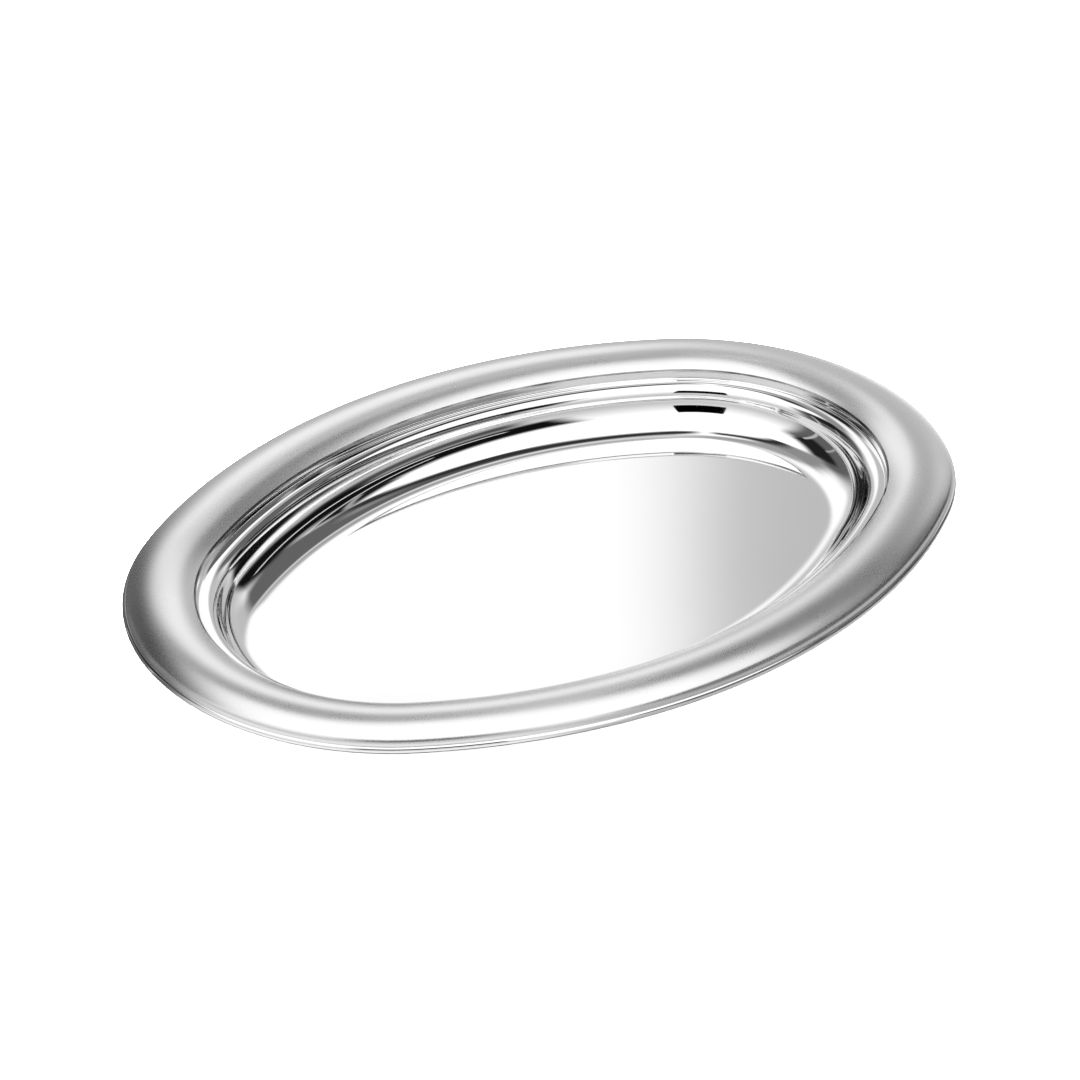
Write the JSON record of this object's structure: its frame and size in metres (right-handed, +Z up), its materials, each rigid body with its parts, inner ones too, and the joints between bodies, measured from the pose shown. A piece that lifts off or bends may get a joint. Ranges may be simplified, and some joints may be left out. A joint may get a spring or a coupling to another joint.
{
  "type": "oval salver",
  "caption": "Oval tray with a deep flat-bottomed well, a coved polished wall and a wide domed satin border, for carrying and serving food and drink.",
  "frame": {"origin": "centre of the tray in plan, on the surface it stands on", "axes": "+Z up out of the well, +X along the long axis, +Y along the short axis"},
  "size_m": [0.3, 0.214, 0.023],
  "materials": {
    "polished_silver": "mirror-polished silver",
    "satin_silver": "fine satin silver"
  },
  "bodies": {
    "root": {"well_pan": "polished_silver", "rim_dome": "satin_silver", "step_moulding": "polished_silver", "edge_wire": "polished_silver"}
  },
  "joints": []
}
